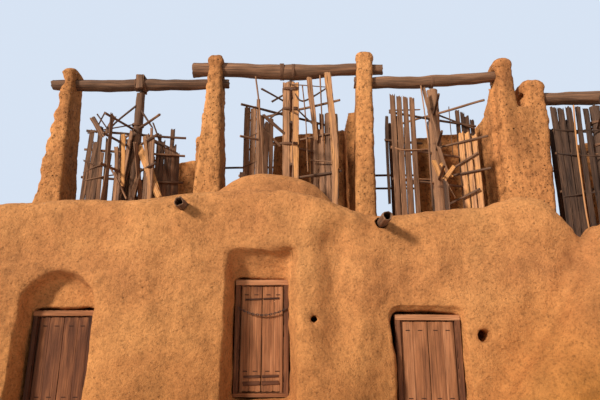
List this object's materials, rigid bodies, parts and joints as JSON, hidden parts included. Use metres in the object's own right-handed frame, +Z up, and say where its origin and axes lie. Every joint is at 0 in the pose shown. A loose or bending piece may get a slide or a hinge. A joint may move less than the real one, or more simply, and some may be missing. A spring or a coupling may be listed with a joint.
{
  "type": "adobe windmill house",
  "caption": "Adobe mill house with plank doors and vertical-axis windmills between tall mud piers on its roof; rotors spin and door leaves swing.",
  "frame": {"origin": "on the ground, in the middle of the base, half way along the row of mills", "axes": "+X along the row, seen from the front to the right; -Y out of the doors; +Z up"},
  "size_m": [15, 6.0998, 7.79],
  "materials": {
    "mud_plaster": "rough mud and straw plaster",
    "old_wood": "weathered",
    "sail_wood": "weathered",
    "footstep_stone": "dressed"
  },
  "bodies": {
    "mill_house": {"front_wall_1": "mud_plaster", "front_wall_2": "mud_plaster", "front_wall_3": "mud_plaster", "front_wall_4": "mud_plaster", "front_wall_5": "mud_plaster", "walls_over_doors": "mud_plaster", "door_sills": "mud_plaster", "pier_1": "mud_plaster", "pier_2": "mud_plaster", "pier_3": "mud_plaster", "pier_4": "mud_plaster", "pier_5": "mud_plaster", "rear_wall": "mud_plaster", "wind_screens": "mud_plaster", "mud_roofs": "mud_plaster", "dome": "mud_plaster", "raised_floor": "mud_plaster", "beam_1": "old_wood", "beam_2": "old_wood", "beam_3": "old_wood", "beam_4": "old_wood", "slot_poles": "old_wood", "drain_spouts": "old_wood", "door_1_frame": "old_wood", "door_2_frame": "old_wood", "door_3_frame": "old_wood", "door_4_frame": "old_wood", "footstep_stones": "footstep_stone"},
    "rotor_1": {"rotor_1_shaft": "sail_wood", "rotor_1_arms": "sail_wood", "rotor_1_sails": "sail_wood"},
    "rotor_2": {"rotor_2_shaft": "sail_wood", "rotor_2_arms": "sail_wood", "rotor_2_sails": "sail_wood"},
    "rotor_3": {"rotor_3_shaft": "sail_wood", "rotor_3_arms": "sail_wood", "rotor_3_sails": "sail_wood"},
    "rotor_4": {"rotor_4_shaft": "sail_wood", "rotor_4_arms": "sail_wood", "rotor_4_sails": "sail_wood"},
    "door_1_left_leaf": {"door_1_left_leaf": "old_wood"},
    "door_1_right_leaf": {"door_1_right_leaf": "old_wood"},
    "door_2_left_leaf": {"door_2_left_leaf": "old_wood"},
    "door_2_right_leaf": {"door_2_right_leaf": "old_wood"},
    "door_3_left_leaf": {"door_3_left_leaf": "old_wood"},
    "door_3_right_leaf": {"door_3_right_leaf": "old_wood"},
    "door_4_left_leaf": {"door_4_left_leaf": "old_wood"},
    "door_4_right_leaf": {"door_4_right_leaf": "old_wood"}
  },
  "joints": [
    {"name": "rotor_1_spin", "type": "hinge", "parent": "mill_house", "child": "rotor_1", "pos_m": [-5.26, 3.3, 3], "axis": [0, 0, 1], "continuous": true},
    {"name": "rotor_2_spin", "type": "hinge", "parent": "mill_house", "child": "rotor_2", "pos_m": [-1.725, 3.3, 3], "axis": [0, 0, 1], "continuous": true},
    {"name": "rotor_3_spin", "type": "hinge", "parent": "mill_house", "child": "rotor_3", "pos_m": [1.62, 3.3, 3], "axis": [0, 0, 1], "continuous": true},
    {"name": "rotor_4_spin", "type": "hinge", "parent": "mill_house", "child": "rotor_4", "pos_m": [5.4, 3.3, 3], "axis": [0, 0, 1], "continuous": true},
    {"name": "door_1_left_swing", "type": "hinge", "parent": "mill_house", "child": "door_1_left_leaf", "pos_m": [-5.315, 0.23, 0.12], "axis": [0, 0, 1], "range_deg": [0, 92]},
    {"name": "door_1_right_swing", "type": "hinge", "parent": "mill_house", "child": "door_1_right_leaf", "pos_m": [-4.625, 0.23, 0.12], "axis": [0, 0, -1], "range_deg": [0, 92]},
    {"name": "door_2_left_swing", "type": "hinge", "parent": "mill_house", "child": "door_2_left_leaf", "pos_m": [-2.35, 0.22, 0.47], "axis": [0, 0, 1], "range_deg": [0, 92]},
    {"name": "door_2_right_swing", "type": "hinge", "parent": "mill_house", "child": "door_2_right_leaf", "pos_m": [-1.77, 0.22, 0.47], "axis": [0, 0, -1], "range_deg": [0, 92]},
    {"name": "door_3_left_swing", "type": "hinge", "parent": "mill_house", "child": "door_3_left_leaf", "pos_m": [-0.02, 0.11, 0.12], "axis": [0, 0, 1], "range_deg": [0, 92]},
    {"name": "door_3_right_swing", "type": "hinge", "parent": "mill_house", "child": "door_3_right_leaf", "pos_m": [0.7, 0.11, 0.12], "axis": [0, 0, -1], "range_deg": [0, 92]},
    {"name": "door_4_left_swing", "type": "hinge", "parent": "mill_house", "child": "door_4_left_leaf", "pos_m": [5.06, 0.11, 0.12], "axis": [0, 0, 1], "range_deg": [0, 92]},
    {"name": "door_4_right_swing", "type": "hinge", "parent": "mill_house", "child": "door_4_right_leaf", "pos_m": [5.74, 0.11, 0.12], "axis": [0, 0, -1], "range_deg": [0, 92]}
  ]
}
